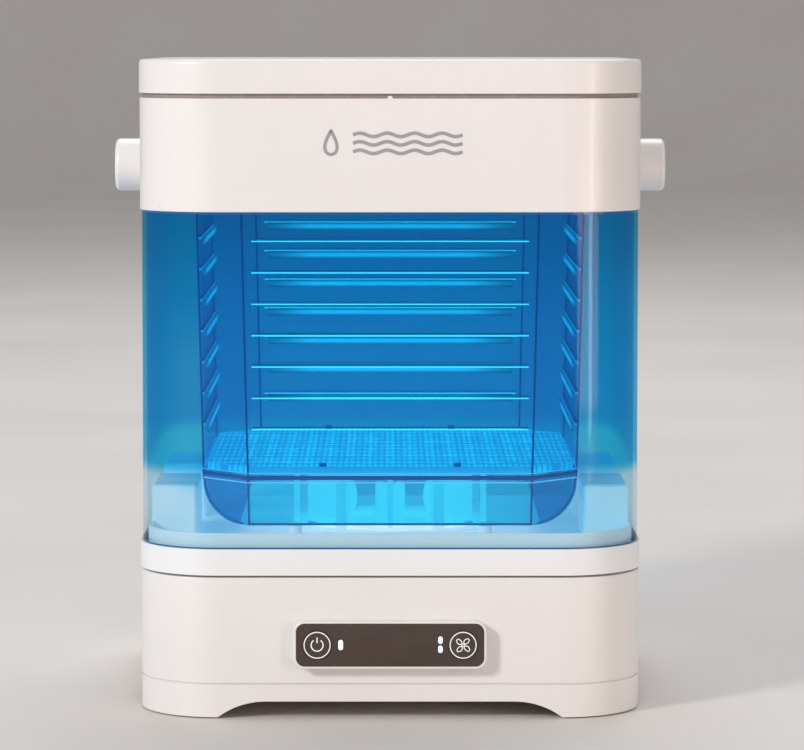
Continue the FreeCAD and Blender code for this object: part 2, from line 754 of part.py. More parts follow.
def make_grip():
    """Sleeve on the cross bar."""
    end = bail_point(BAIL_REACH)
    half = GRIP_HALF
    sleeve = Part.makeCylinder(BAR_R + 2.0, 2 * half, V(-half, end.y, end.z), V(1, 0, 0))
    return sleeve.cut(Part.makeCylinder(BAR_R, 2 * half + 2, V(-half - 1, end.y, end.z), V(1, 0, 0)))


os.makedirs("parts", exist_ok=True)

write("base_pan", make_base_pan())
write("rubber_feet", make_feet())
write("base_screws", make_base_screws())
write("base_shell", make_base_shell())
write("panel_pod", make_pod())
write("panel_fascia", make_fascia())
write("panel_lamps", make_lamps())
write("key_board", make_key_board())
write("power_key", make_key(-1))
write("fan_key", make_key(1))
write("motor", make_motor())
write("motor_plate", make_motor_plate())
write("motor_pillars", make_motor_pillars())
write("magnet_wheel", make_carrier())
write("drive_magnets", make_drive_magnets())
write("main_board", make_main_board())
write("board_parts", make_board_parts())
write("dc_socket", make_dc_socket())
write("tray", make_tray())
write("tank_wall", make_tank_wall())
write("tray_seal", make_tray_seal())
write("band_seal", make_band_seal())
write("band", make_band())
write("pivot_screws", make_pivot_screws())
write("impeller_pin", make_impeller_pin())
write("impeller_cage", make_cage())
write("cage_screws", make_cage_screws())
write("badge", make_badge())
write("impeller", make_impeller())
write("impeller_magnets", make_impeller_magnets())
write("impeller_bush", make_bush())
write("basket", make_basket())
write("basket_skirt", make_basket_skirt())
write("basket_rim", make_basket_rim())
write("basket_floor", make_basket_floor())
write("floor_pegs", make_floor_pegs())
write("lid", make_lid())
write("lid_seal", make_lid_seal())
write("bail", make_bail())
write("hub_caps", make_hub_caps())
write("bail_grip", make_grip())
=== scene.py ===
import math

import bmesh
import bpy
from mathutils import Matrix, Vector


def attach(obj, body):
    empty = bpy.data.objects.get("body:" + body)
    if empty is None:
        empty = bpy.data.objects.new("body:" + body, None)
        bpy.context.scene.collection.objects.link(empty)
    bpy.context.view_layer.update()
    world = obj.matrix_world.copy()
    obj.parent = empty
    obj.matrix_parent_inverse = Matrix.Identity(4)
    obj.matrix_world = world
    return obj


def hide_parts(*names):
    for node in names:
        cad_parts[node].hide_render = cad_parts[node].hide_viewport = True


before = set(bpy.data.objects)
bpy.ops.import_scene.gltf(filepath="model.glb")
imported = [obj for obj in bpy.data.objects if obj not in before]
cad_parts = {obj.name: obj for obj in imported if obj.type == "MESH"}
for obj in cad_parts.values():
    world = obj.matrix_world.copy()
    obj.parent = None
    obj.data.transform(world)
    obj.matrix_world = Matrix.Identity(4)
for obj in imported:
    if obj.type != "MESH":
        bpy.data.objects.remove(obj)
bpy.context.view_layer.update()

WHITE = (0.84, 0.82, 0.81, 1)
TRAY_WHITE = (0.86, 0.88, 0.90, 1)

# Sizes of the part that the finishes and detail pieces follow, in metres
BASKET_LOW, BASKET_TOP = 0.1063, 0.326
BASKET_LOW_HALF, BASKET_TOP_HALF = 0.109, 0.114  # half widths at those two heights
BASKET_FLAT = 0.087  # half length of a straight side at the top
SKIRT_ROUND = 0.023  # radius of the skirt's rounded ends
SLOT_FIRST, SLOT_PITCH, SLOT_COUNT = 0.1626, 0.0182, 7
SLOT_ROWS = [SLOT_FIRST + SLOT_PITCH * row for row in range(SLOT_COUNT)]
SLOT_HALF = 0.080
LIP_DEPTH = 0.0012  # half depth of a slot's lip
RIB_DROP = 0.0030  # a rib's middle lies this far below its slot
RIB_HALF = 0.0024
WALL_LINE = 0.0006  # half width of the basket's edge lines
KEY_X, KEY_Z, KEY_FACE = 0.0415, 0.0436, -0.1525
KEY_PRINT = (KEY_FACE - 0.00002, KEY_FACE + 0.0001)  # front and back of the print on the keys
BADGE_Z, BAND_FACE = 0.3286, -0.1448
BADGE_PRINT = (BAND_FACE - 0.00015, BAND_FACE + 0.0001)
PAINTED_GLOW_STRAIGHT, PAINTED_GLOW_RADIUS = 0.098, 0.0408  # rounded square of the painted glow inside the bucket
TANK_HALF, TANK_RADIUS = 0.14385, 0.0459  # outline of the clear wall
TANK_JOINTS = ((0.0972, 0.0982), (0.2882, 0.2896))  # heights where the wall meets ring and band


# ------------------------------------------------------------------ node helpers


class Tree:
    """A material's node tree with short calls for adding and joining nodes."""

    def __init__(self, name):
        self.open(bpy.data.materials.new(name))

    @classmethod
    def of(cls, material):
        """Tree of a material that is already there."""
        tree = cls.__new__(cls)
        tree.open(material)
        return tree

    def open(self, material):
        self.material = material
        self.material.use_nodes = True
        self.nodes = self.material.node_tree.nodes
        self.links = self.material.node_tree.links
        self.shader = self.nodes["Principled BSDF"]
        self.output = self.nodes["Material Output"]
        self.place = self.nodes.new("ShaderNodeTexCoord").outputs["Object"]

    def add(self, kind, **values):
        """New node; a name that is an input sets that input, any other name sets a property."""
        node = self.nodes.new(kind)
        for key, value in values.items():
            label = key.replace("_", " ")
            if label in node.inputs:
                node.inputs[label].default_value = value
            else:
                setattr(node, key, value)
        return node

    def join(self, source, target):
        """Links an output socket to an input socket."""
        self.links.new(source, target)

    def feed(self, label, source):
        """Links a socket to an input of the main shader."""
        self.join(source, self.shader.inputs[label])

    def noise(self, scale, detail=3.0, roughness=0.5):
        node = self.add("ShaderNodeTexNoise", Scale=scale, Detail=detail, Roughness=roughness)
        self.join(self.place, node.inputs["Vector"])
        return node.outputs["Fac"]

    def span(self, value, low, high, out_low, out_high, smooth=False):
        """Maps a value from one range to another."""
        node = self.add("ShaderNodeMapRange")
        node.interpolation_type = "SMOOTHSTEP" if smooth else "LINEAR"
        self.join(value, node.inputs["Value"])
        ends = {"From Min": low, "From Max": high, "To Min": out_low, "To Max": out_high}
        for label, number in ends.items():
            node.inputs[label].default_value = number
        return node.outputs["Result"]

    def blend(self, factor, first, second):
        """Colour between two colours; each is a socket or a plain colour."""
        node = self.add("ShaderNodeMix", data_type="RGBA")
        self.join(factor, node.inputs["Factor"])
        for socket, colour in ((node.inputs[6], first), (node.inputs[7], second)):
            if isinstance(colour, (tuple, list)):
                socket.default_value = colour
            else:
                self.join(colour, socket)
        return node.outputs[2]

    def math(self, operation, first, second=None):
        node = self.add("ShaderNodeMath", operation=operation)
        for socket, value in zip(node.inputs, (first, second)):
            if isinstance(value, (int, float)):
                socket.default_value = value
            elif value is not None:
                self.join(value, socket)
        return node.outputs[0]

    def mix_shaders(self, share, first, second):
        """Mix of two shader nodes; share is a number or a socket."""
        node = self.add("ShaderNodeMixShader")
        if isinstance(share, (int, float)):
            node.inputs[0].default_value = share
        else:
            self.join(share, node.inputs[0])
        self.join(first.outputs[0], node.inputs[1])
        self.join(second.outputs[0], node.inputs[2])
        return node

    def along(self, axis):
        """Coordinate on the X, Y or Z axis; Z is the height above the table."""
        split = self.add("ShaderNodeSeparateXYZ")
        self.join(self.place, split.inputs[0])
        return split.outputs[axis]

    def bump(self, height, strength, distance):
        node = self.add("ShaderNodeBump", Strength=strength, Distance=distance)
        self.join(height, node.inputs["Height"])
        self.join(node.outputs["Normal"], self.shader.inputs["Normal"])


def shaded(colour, factor):
    return tuple(channel * factor for channel in colour[:3]) + (1,)


# ------------------------------------------------------------------ materials


def moulded_plastic(name, colour, roughness=0.32, grain=2600.0, grain_depth=0.00004, coat=0.25):
    """Satin moulded plastic: faint cloudy colour, fine grain and uneven gloss."""
    tree = Tree(name)
    cloud = tree.noise(9.0, 4.0)
    tone = tree.blend(tree.span(cloud, 0.3, 0.7, 0, 1), shaded(colour, 0.965), colour)
    tree.feed("Base Color", tone)
    smear = tree.noise(35.0, 5.0, 0.6)
    tree.feed("Roughness", tree.span(smear, 0.25, 0.75, roughness - 0.05, roughness + 0.07))
    tree.bump(tree.noise(grain, 2.0), 0.12, grain_depth)
    tree.shader.inputs["Coat Weight"].default_value = coat
    tree.shader.inputs["Coat Roughness"].default_value = 0.12
    tree.shader.inputs["Subsurface Weight"].default_value = 0.04
    tree.shader.inputs["Subsurface Radius"].default_value = (0.004, 0.003, 0.002)
    return tree.material


def rubber(name, colour, roughness=0.75):
    """Matt rubber with a fine moulding texture and dusty patches."""
    tree = Tree(name)
    dust = tree.noise(240.0, 5.0, 0.65)
    tone = tree.blend(tree.span(dust, 0.45, 0.75, 0, 1), colour, shaded(colour, 1.25))
    tree.feed("Base Color", tone)
    tree.feed("Roughness", tree.span(dust, 0.3, 0.7, roughness - 0.08, roughness + 0.1))
    tree.bump(tree.noise(1800.0, 3.0), 0.25, 0.0001)
    return tree.material


def turned_metal(name, colour, roughness=0.28):
    """Metal with fine brushed lines and slight tarnish."""
    tree = Tree(name)
    stretch = tree.add("ShaderNodeMapping")
    stretch.inputs["Scale"].default_value = (1, 1, 22)
    tree.join(tree.place, stretch.inputs["Vector"])
    lines = tree.add("ShaderNodeTexNoise", Scale=420.0, Detail=4.0)
    tree.join(stretch.outputs[0], lines.inputs["Vector"])
    tree.shader.inputs["Metallic"].default_value = 1.0
    stain = tree.noise(80.0, 4.0)
    tree.feed("Base Color", tree.blend(tree.span(stain, 0.4, 0.75, 0, 1), colour, shaded(colour, 0.8)))
    brushed = lines.outputs["Fac"]
    tree.feed("Roughness", tree.span(brushed, 0.3, 0.7, roughness - 0.07, roughness + 0.1))
    tree.bump(brushed, 0.1, 0.00003)
    return tree.material


def glossy_panel(name, colour):
    """Dark glossy inlay with faint smears."""
    tree = Tree(name)
    smear = tree.noise(70.0, 6.0, 0.6)
    tree.feed("Base Color", tree.blend(tree.span(smear, 0.3, 0.7, 0, 1), colour, shaded(colour, 1.25)))
    tree.feed("Roughness", tree.span(smear, 0.35, 0.75, 0.16, 0.32))
    tree.bump(tree.noise(900.0, 2.0), 0.03, 0.00002)
    tree.shader.inputs["Coat Weight"].default_value = 0.3
    tree.shader.inputs["Coat Roughness"].default_value = 0.06
    return tree.material


def painted_glow_tray(name, colour, glow):
    """White moulded plastic with a painted glow: emission stands in for the light held in the clear bucket.
    The painted glow ends at a rounded square that fits inside the clear wall."""
    material = moulded_plastic(name, colour, roughness=0.4, coat=0.1)
    tree = Tree.of(material)
    squares = []
    for axis in ("X", "Y"):
        beyond = tree.math("SUBTRACT", tree.math("ABSOLUTE", tree.along(axis)), PAINTED_GLOW_STRAIGHT)
        squares.append(tree.math("POWER", tree.math("MAXIMUM", beyond, 0.0), 2.0))
    beyond_straight = tree.math("SQRT", tree.math("ADD", squares[0], squares[1]))
    inside = tree.span(beyond_straight, PAINTED_GLOW_RADIUS, PAINTED_GLOW_RADIUS + 0.0004, 1, 0)
    # painted glow colour, a little uneven, given off as emission
    patch = tree.noise(20.0, 3.0)
    tone = tree.blend(tree.span(patch, 0.3, 0.7, 0, 1), shaded(glow, 0.85), glow)
    tree.feed("Emission Color", tree.blend(inside, (0, 0, 0, 1), tone))
    tree.shader.inputs["Emission Strength"].default_value = 1.0
    return material


def perforated(name, low, high, column_step, row_step):
    """Perforated plate with painted light: its holes are painted as glowing white dots in rows, with darker
    glowing plastic between them.
    """
    tree = Tree(name)
    waves = []
    for axis, step in (("X", column_step), ("Y", row_step)):
        turn = tree.math("MULTIPLY", tree.along(axis), math.pi / step)
        waves.append(tree.math("ABSOLUTE", tree.math("SINE", turn)))
    spot = tree.math("MULTIPLY", waves[0], waves[1])
    cloud = tree.noise(25.0, 3.0)
    level = tree.math("MULTIPLY", tree.span(spot, 0.15, 0.65, 0.35, 1), tree.span(cloud, 0.3, 0.7, 0.7, 1))
    tone = tree.blend(level, low, high)
    tree.feed("Base Color", tone)
    # painted glow: the dots and the plastic between them give off their own light
    tree.feed("Emission Color", tone)
    tree.shader.inputs["Emission Strength"].default_value = 0.8
    tree.feed("Roughness", tree.span(cloud, 0.3, 0.7, 0.15, 0.3))
    tree.bump(spot, 0.3, 0.0002)
    return tree.material


def lamp_and_painted_glow(name, colour, strength):
    """Surface with its own light, a little uneven: real lamp light for the panel lamps, painted glow for the
    print and painted highlights for the slot lips and ledge lines.
    """
    tree = Tree(name)
    patch = tree.noise(900.0, 2.0)
    tone = tree.blend(tree.span(patch, 0.3, 0.7, 0, 1), shaded(colour, 0.9), colour)
    tree.feed("Base Color", tone)
    tree.feed("Emission Color", tone)
    tree.shader.inputs["Emission Strength"].default_value = strength
    tree.feed("Roughness", tree.span(patch, 0.3, 0.7, 0.3, 0.45))
    return tree.material


def painted_glow_rib(name, colour, strength, first, pitch):
    """Painted light on a rounded rib: a painted glow brightest along the middle of each row and fading to
    its ends, with painted shade between the rows.
    """
    tree = Tree(name)
    rise = tree.math("SUBTRACT", tree.along("Z"), first - 2 * pitch)
    off_row = tree.math("PINGPONG", rise, pitch / 2)
    middle = tree.span(off_row, 0.0, 0.0026, 1.0, 0.1, smooth=True)
    off_centre = tree.math("MINIMUM", *[tree.math("ABSOLUTE", tree.along(axis)) for axis in ("X", "Y")])
    level = tree.math("MULTIPLY", middle, tree.span(off_centre, 0.045, 0.078, 1.0, 0.25, smooth=True))
    # painted shade between the rows, painted glow along them
    tree.feed("Base Color", tree.blend(level, (0, 0.02, 0.05, 1), colour))
    tree.feed("Emission Color", tree.blend(level, (0, 0.06, 0.12, 1), colour))
    tree.shader.inputs["Emission Strength"].default_value = strength
    tree.feed("Roughness", tree.span(level, 0, 1, 0.3, 0.2))
    return tree.material


def circuit_board(name):
    """Green solder mask with paler traces."""
    tree = Tree(name)
    cells = tree.add("ShaderNodeTexVoronoi", Scale=220.0)
    cells.distance = "CHEBYCHEV"
    tree.join(tree.place, cells.inputs["Vector"])
    trace = tree.span(cells.outputs["Distance"], 0.42, 0.5, 0, 1)
    tree.feed("Base Color", tree.blend(trace, (0.01, 0.12, 0.05, 1), (0.03, 0.26, 0.10, 1)))
    tree.feed("Roughness", tree.span(cells.outputs["Distance"], 0.2, 0.6, 0.3, 0.5))
    tree.bump(trace, 0.2, 0.00005)
    return tree.material


def clear_plastic(name, face_tint, edge_tint, veil, veil_share, low_tint=None, low_span=None):
    """Tinted clear plastic: it passes tinted light, glows a little blue and mirrors at a glance.
    Below the heights of low_span it has low_tint, and across them it turns into the main tint."""
    tree = Tree(name)
    facing = tree.add("ShaderNodeLayerWeight", Blend=0.3).outputs["Facing"]
    streak = tree.noise(14.0, 3.0)
    tint = tree.blend(facing, face_tint, edge_tint)
    share = tree.span(streak, 0.3, 0.7, veil_share * 0.92, veil_share * 1.08)
    if low_tint:
        rise = tree.span(tree.along("Z"), *low_span, 0, 1, smooth=True)
        tint = tree.blend(rise, low_tint, tint)
        share = tree.math("MULTIPLY", share, tree.span(rise, 0, 1, 0.5, 1.0))
    clear = tree.add("ShaderNodeBsdfTransparent")
    tree.join(tint, clear.inputs["Color"])
    tree.shader.inputs["Base Color"].default_value = veil
    tree.feed("Roughness", tree.span(streak, 0.3, 0.7, 0.10, 0.18))
    glow = tree.add("ShaderNodeBsdfTranslucent", Color=veil)
    haze = tree.mix_shaders(0.6, tree.shader, glow)
    body = tree.mix_shaders(share, clear, haze)
    gloss = tree.add("ShaderNodeBsdfGlossy", Roughness=0.06)
    slant = tree.add("ShaderNodeLayerWeight", Blend=0.5).outputs["Facing"]
    glance = tree.span(tree.math("POWER", slant, 5.0), 0, 1, 0.02, 0.30)
    whole = tree.mix_shaders(glance, body, gloss)
    tree.join(whole.outputs[0], tree.output.inputs["Surface"])
    return tree.material


MATERIALS = {
    "white": moulded_plastic("white_shell", WHITE),
    # painted glow on the tray and the paddles, as if lit inside the bucket
    "tray": painted_glow_tray("white_tray", TRAY_WHITE, (0.05, 0.07, 0.08, 1)),
    "paddle": painted_glow_tray("white_paddle_painted_glow", TRAY_WHITE, (0.26, 0.27, 0.28, 1)),
    "tank": clear_plastic(
        "blue_clear", (0.17, 0.80, 0.945, 1), (0.12, 0.73, 0.92, 1), (0.0, 0.40, 0.84, 1), 0.09,
        low_tint=(0.90, 0.98, 1.0, 1), low_span=(0.136, 0.146)
    ),
    "basket": clear_plastic(
        "blue_basket", (0.44, 0.96, 1.0, 1), (0.10, 0.70, 0.92, 1), (0.0, 0.50, 0.90, 1), 0.08
    ),
    "skirt": clear_plastic(
        "blue_skirt", (0.22, 0.88, 0.95, 1), (0.06, 0.66, 0.92, 1), (0.0, 0.50, 0.92, 1), 0.05
    ),
    "mesh": perforated("blue_mesh_painted_glow", (0.02, 0.25, 0.45, 1), (1.0, 1.0, 1.0, 1), 0.0034, 0.018),
    # painted highlights on the slot lips and the ledge lines
    "lip_painted_highlight": lamp_and_painted_glow("lip_painted_highlight", (0.92, 1.0, 1.0, 1), 1.5),
    "lip_painted_soft_highlight": lamp_and_painted_glow("lip_painted_soft_highlight", (0.20, 0.70, 0.95, 1), 0.45),
    # dark blue; on the slot lips, the ledge line and the basket edges it is painted shade
    "lip_dark": moulded_plastic("lip_dark", (0.0, 0.06, 0.28, 1), roughness=0.2, coat=0.3),
    "rib": painted_glow_rib("blue_rib_painted_glow", (0.55, 0.90, 1.0, 1), 0.75, SLOT_FIRST - RIB_DROP, SLOT_PITCH),
    "line": moulded_plastic("line_blue", (0.0, 0.12, 0.34, 1), roughness=0.2, coat=0.3),
    "fascia": glossy_panel("dark_fascia", (0.050, 0.032, 0.022, 1)),
    "lamp": lamp_and_painted_glow("lamp_white", (0.50, 0.78, 1.0, 1), 1.5),
    # white print with a faint painted glow
    "print": lamp_and_painted_glow("white_print_painted_glow", (0.80, 0.84, 0.86, 1), 0.25),
    "seal": rubber("seal_rubber", (0.30, 0.25, 0.23, 1)),
    "foot": rubber("foot_rubber", (0.03, 0.03, 0.03, 1)),
    "grip": rubber("grip_rubber", (0.22, 0.23, 0.24, 1), 0.6),
    "steel": turned_metal("screw_steel", (0.62, 0.62, 0.63, 1)),
    "zinc": turned_metal("motor_steel", (0.42, 0.43, 0.45, 1), 0.36),
    "nickel": turned_metal("magnet_nickel", (0.66, 0.64, 0.60, 1), 0.2),
    "board": circuit_board("circuit_board"),
    "black": moulded_plastic("dark_plastic", (0.03, 0.03, 0.032, 1), roughness=0.45, coat=0.0),
    "mark": moulded_plastic("grey_mark", (0.34, 0.35, 0.37, 1), roughness=0.4, coat=0.1),
}

FINISH = {
    "white": ["base_pan", "base_shell", "panel_pod", "band", "lid", "bail", "hub_caps"],
    "tray": ["tray"],
    "paddle": ["impeller_cage", "impeller"],
    "tank": ["tank_wall"],
    "basket": ["basket", "basket_rim"],
    "skirt": ["basket_skirt"],
    "mesh": ["basket_floor"],
    "lip_dark": ["floor_pegs"],
    "fascia": ["panel_fascia", "power_key", "fan_key"],
    "lamp": ["panel_lamps"],
    "seal": ["tray_seal", "band_seal", "lid_seal"],
    "foot": ["rubber_feet"],
    "grip": ["bail_grip"],
    "steel": ["base_screws", "pivot_screws", "impeller_pin", "cage_screws", "motor_pillars"],
    "zinc": ["motor", "motor_plate"],
    "nickel": ["drive_magnets", "impeller_magnets"],
    "board": ["key_board", "main_board"],
    "black": ["board_parts", "dc_socket", "magnet_wheel", "impeller_bush"],
    "mark": ["badge"],
}


def dress(piece, finish):
    """Gives every slot of a piece one finish."""
    slots = piece.data.materials
    if not slots:
        slots.append(MATERIALS[finish])
    for index in range(len(slots)):
        slots[index] = MATERIALS[finish]


for finish, names in FINISH.items():
    for name in names:
        dress(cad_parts[name], finish)


# ------------------------------------------------------------------ detail pieces


def new_piece(name, mesh_maker, finish, body, stands_for=()):
    """Mesh object made by a bmesh function, dressed and riding on a body."""
    mesh = bpy.data.meshes.new(name)
    shape = bmesh.new()
    mesh_maker(shape)
    bmesh.ops.recalc_face_normals(shape, faces=shape.faces)
    shape.to_mesh(mesh)
    shape.free()
    piece = bpy.data.objects.new(name, mesh)
    bpy.context.scene.collection.objects.link(piece)
    dress(piece, finish)
    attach(piece, body)
    if stands_for:
        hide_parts(*stands_for)
    return piece


def add_bar(shape, start, end, across, up):
    """Bar with bevelled long edges from start to end; across and up are its half sizes as vectors."""
    cut = 0.4  # where the bevel starts, as a share of the half size
    corners = [(1, cut), (cut, 1), (-cut, 1), (-1, cut), (-1, -cut), (-cut, -1), (cut, -1), (1, -cut)]
    rings = []
    for middle in (Vector(start), Vector(end)):
        rings.append([shape.verts.new(middle + Vector(across) * a + Vector(up) * b) for a, b in corners])
    count = len(corners)
    for i in range(count):
        shape.faces.new((rings[0][i], rings[0][(i + 1) % count], rings[1][(i + 1) % count], rings[1][i]))
    shape.faces.new(rings[0])
    shape.faces.new(rings[1])


def close_tube(shape, first, second):
    """Side faces between two four-cornered rings."""
    for k in range(4):
        shape.faces.new((first[k], first[(k + 1) % 4], second[(k + 1) % 4], second[k]))


def add_ribbon(shape, points, half_width, depths, closed):
    """Flat line on a front surface: it follows (x, z) points, and depths are its front and back y."""
    front, back = depths
    count = len(points)
    rails = []
    for i, point in enumerate(points):
        before = points[(i - 1) % count] if closed or i > 0 else point
        after = points[(i + 1) % count] if closed or i < count - 1 else point
        along = Vector((after[0] - before[0], after[1] - before[1])).normalized()
        side = Vector((-along.y, along.x)) * half_width
        rails.append([
            shape.verts.new((point[0] + sign * side.x, depth, point[1] + sign * side.y))
            for sign, depth in ((1, front), (-1, front), (-1, back), (1, back))
        ])
    for i in range(count if closed else count - 1):
        close_tube(shape, rails[i], rails[(i + 1) % count])
    if not closed:
        shape.faces.new(rails[0])
        shape.faces.new(rails[-1])


def arc_points(x, z, radius, start, turn, count):
    """Points along an arc, both ends included; angles run clockwise from straight up."""
    turns = [start + turn * i / count for i in range(count + 1)]
    return [(x + radius * math.sin(t), z + radius * math.cos(t)) for t in turns]


def circle_points(x, z, radius, count=48):
    """Points round a full circle, without repeating the first."""
    return arc_points(x, z, radius, 0.0, 2 * math.pi, count)[:-1]


def key_ring(x):
    """Thin printed ring round a key."""
    return lambda shape: add_ribbon(shape, circle_points(x, KEY_Z, 0.0074), 0.00030, KEY_PRINT, True)


def power_sign(shape):
    """Open ring with a bar through its gap."""
    half_width = 0.00034
    gap = math.radians(36)  # from the middle of the gap to either end
    arc = arc_points(-KEY_X, KEY_Z, 0.0034, gap, 2 * math.pi - 2 * gap, 36)
    bar = [(-KEY_X, KEY_Z + 0.0012), (-KEY_X, KEY_Z + 0.0044)]
    for points in (arc, bar):
        add_ribbon(shape, points, half_width, KEY_PRINT, False)


def fan_sign(shape):
    """Four outlined blades, swept like a pinwheel, round a small hub ring."""
    blade_start, sweep_rate = 0.0008, 90  # radius of a blade's inner end, turn in radians per metre
    for blade in range(4):
        turn = math.radians(90 * blade + 8)
        points = []
        for x, z in circle_points(0, 0, 1, 24):
            x, z = 0.00125 * x + 0.0011, 0.0019 * z + 0.0027
            sweep = turn + sweep_rate * (z - blade_start)
            points.append((
                KEY_X + x * math.cos(sweep) + z * math.sin(sweep),
                KEY_Z - x * math.sin(sweep) + z * math.cos(sweep),
            ))
        add_ribbon(shape, points, 0.00026, KEY_PRINT, True)
    add_ribbon(shape, circle_points(KEY_X, KEY_Z, 0.0007, 16), 0.00022, KEY_PRINT, True)


def plain_badge(shape):
    """Drop outline beside three short waves."""
    drop_x, wave_x, wave_length, wave_pitch = -0.0335, -0.021, 0.062, 0.0048
    drop = []
    for i in range(40):
        t = 2 * math.pi * i / 40
        pinch = 0.0048 * math.sin(t) * math.sin(t / 2) ** 1.3
        drop.append((drop_x + pinch, BADGE_Z + 0.0005 + 0.0068 * math.cos(t)))
    add_ribbon(shape, drop, 0.0009, BADGE_PRINT, True)
    for row in (-1, 0, 1):
        middle = BADGE_Z + row * wave_pitch
        wave = [
            (wave_x + wave_length * i / 60, middle + 0.0010 * math.sin(2 * math.pi * i / 15))
            for i in range(61)
        ]
        add_ribbon(shape, wave, 0.0010, BADGE_PRINT, False)


def basket_half(z):
    """Half width of the basket at a height; its walls lean out a little."""
    rise = (z - BASKET_LOW) / (BASKET_TOP - BASKET_LOW)
    return BASKET_LOW_HALF + rise * (BASKET_TOP_HALF - BASKET_LOW_HALF)


def basket_flat(z):
    """Half length of the basket's straight sides at a height."""
    return BASKET_FLAT - (BASKET_TOP_HALF - basket_half(z))


def basket_corners(z, inset):
    """The eight corners of the basket's outline at a height, moved in by an inset."""
    half = basket_half(z) - inset
    flat = basket_flat(z)
    return [
        (flat, -half, z), (half, -flat, z), (half, flat, z), (flat, half, z),
        (-flat, half, z), (-half, flat, z), (-half, -flat, z), (-flat, -half, z),
    ]


def basket_rings(heights, inset, deep, tall):
    """Thin bars right round the basket at some heights; deep and tall are half sizes."""
    def build(shape):
        for z in heights:
            corners = basket_corners(z, inset)
            for start, end in zip(corners, corners[1:] + corners[:1]):
                outward = Vector((start[0] + end[0], start[1] + end[1], 0)).normalized()
                add_bar(shape, start, end, outward * deep, (0, 0, tall))
    return build


def skirt_lines(shape):
    """Thin dark lines of painted shade along the rounded ends and the lower edges of the skirt."""
    half, flat = basket_half(BASKET_LOW), basket_flat(BASKET_LOW)
    low = BASKET_LOW + 0.0007
    for sy in (-1, 1):
        ends = [(end * flat, sy * (half - WALL_LINE), low) for end in (-1, 1)]
        add_bar(shape, ends[0], ends[1], (0, WALL_LINE, 0), (0, 0, WALL_LINE))
        for sx in (-1, 1):
            points = []
            for step in range(9):
                turn = math.radians(90 * step / 8)
                x = half - SKIRT_ROUND + SKIRT_ROUND * math.cos(turn) - 0.0005
                z = low + SKIRT_ROUND - SKIRT_ROUND * math.sin(turn)
                points.append((sx * x, sy * (half + flat - x - 0.0012), z))
            for start, end in zip(points, points[1:]):
                add_bar(shape, start, end, (WALL_LINE, 0, 0), (0, 0.0005, 0.0004))


def add_collar(shape, half, radius, low, high, thick):
    """Thin closed band along a rounded square."""
    steps = 12
    rails = []
    for quarter, (side_x, side_y) in enumerate([(1, 1), (-1, 1), (-1, -1), (1, -1)]):
        middle = Vector((side_x, side_y)) * (half - radius)
        for step in range(steps + 1):
            turn = math.radians(90 * quarter + 90 * step / steps)
            out = Vector((math.cos(turn), math.sin(turn)))
            outer, inner = middle + out * radius, middle + out * (radius - thick)
            section = ((outer, low), (outer, high), (inner, high), (inner, low))
            rails.append([shape.verts.new((point.x, point.y, z)) for point, z in section])
    for first, second in zip(rails, rails[1:] + rails[:1]):
        close_tube(shape, first, second)


def tank_lines(shape):
    """Lines where the clear wall meets the ring below it and the band above it; the upper one is painted
    shadow under the band's lower edge.
    """
    for low, high in TANK_JOINTS:
        add_collar(shape, TANK_HALF, TANK_RADIUS, low, high, 0.0002)


def slot_lips(low, high, walls):
    """Bars along every slot from low to high of its middle, on the walls called "ends" or "sides"."""
    def build(shape):
        for z in SLOT_ROWS:
            reach = basket_half(z) - LIP_DEPTH
            middle, tall = z + (low + high) / 2, (high - low) / 2
            for side in (-1, 1):
                ends = [Vector((end * SLOT_HALF, side * reach, middle)) for end in (-1, 1)]
                across = Vector((0, LIP_DEPTH, 0))
                if walls == "sides":
                    ends = [end.yxz for end in ends]
                    across = across.yxz
                add_bar(shape, ends[0], ends[1], across, (0, 0, tall))
    return build


def back_ribs(shape):
    """Shallow rounded ribs under the slots, inside the back and side walls."""
    near, far, thick, up = -0.070, 0.078, 0.0006, (0, 0, RIB_HALF)
    for slot_z in SLOT_ROWS:
        reach = basket_half(slot_z) - 0.0032
        z = slot_z - RIB_DROP
        add_bar(shape, (-far, reach, z), (far, reach, z), (0, thick, 0), up)
        for x in (-reach, reach):
            add_bar(shape, (x, near, z), (x, far, z), (thick, 0, 0), up)


def corner_lines(shape):
    """Thin dark lines of painted shade down the eight upright edges of the basket."""
    inset = 0.0004
    for sx in (-1, 1):
        for sy in (-1, 1):
            for swap in (False, True):
                ends = []
                for z in (BASKET_LOW + (0.024 if swap else 0), BASKET_TOP - 0.004):
                    half, flat = basket_half(z) - inset, basket_flat(z) - inset
                    x, y = (half, flat) if swap else (flat, half)
                    ends.append((sx * x, sy * y, z))
                add_bar(shape, ends[0], ends[1], (WALL_LINE, 0, 0), (0, WALL_LINE, 0))


new_piece("power_ring", key_ring(-KEY_X), "print", "power_button")
new_piece("fan_ring", key_ring(KEY_X), "print", "fan_button")
new_piece("power_sign", power_sign, "print", "power_button")
new_piece("fan_sign", fan_sign, "print", "fan_button")
new_piece("band_badge", plain_badge, "mark", "bucket", ["badge"])
# painted highlight and painted shade along each slot, on the end and side walls
new_piece("slot_lips_painted_highlight", slot_lips(-0.0009, -0.0003, "ends"), "lip_painted_highlight", "basket")
new_piece("slot_lips_painted_shade", slot_lips(0.0003, 0.0010, "ends"), "lip_dark", "basket")
new_piece("side_lips_painted_highlight", slot_lips(-0.0011, -0.0002, "sides"), "lip_painted_soft_highlight", "basket")
new_piece("side_lips_painted_shade", slot_lips(0.0004, 0.0011, "sides"), "lip_dark", "basket")
# ribs that carry painted glow and painted shade
new_piece("basket_ribs_painted_glow", back_ribs, "rib", "basket")
new_piece("basket_edges_painted_shade", corner_lines, "lip_dark", "basket")
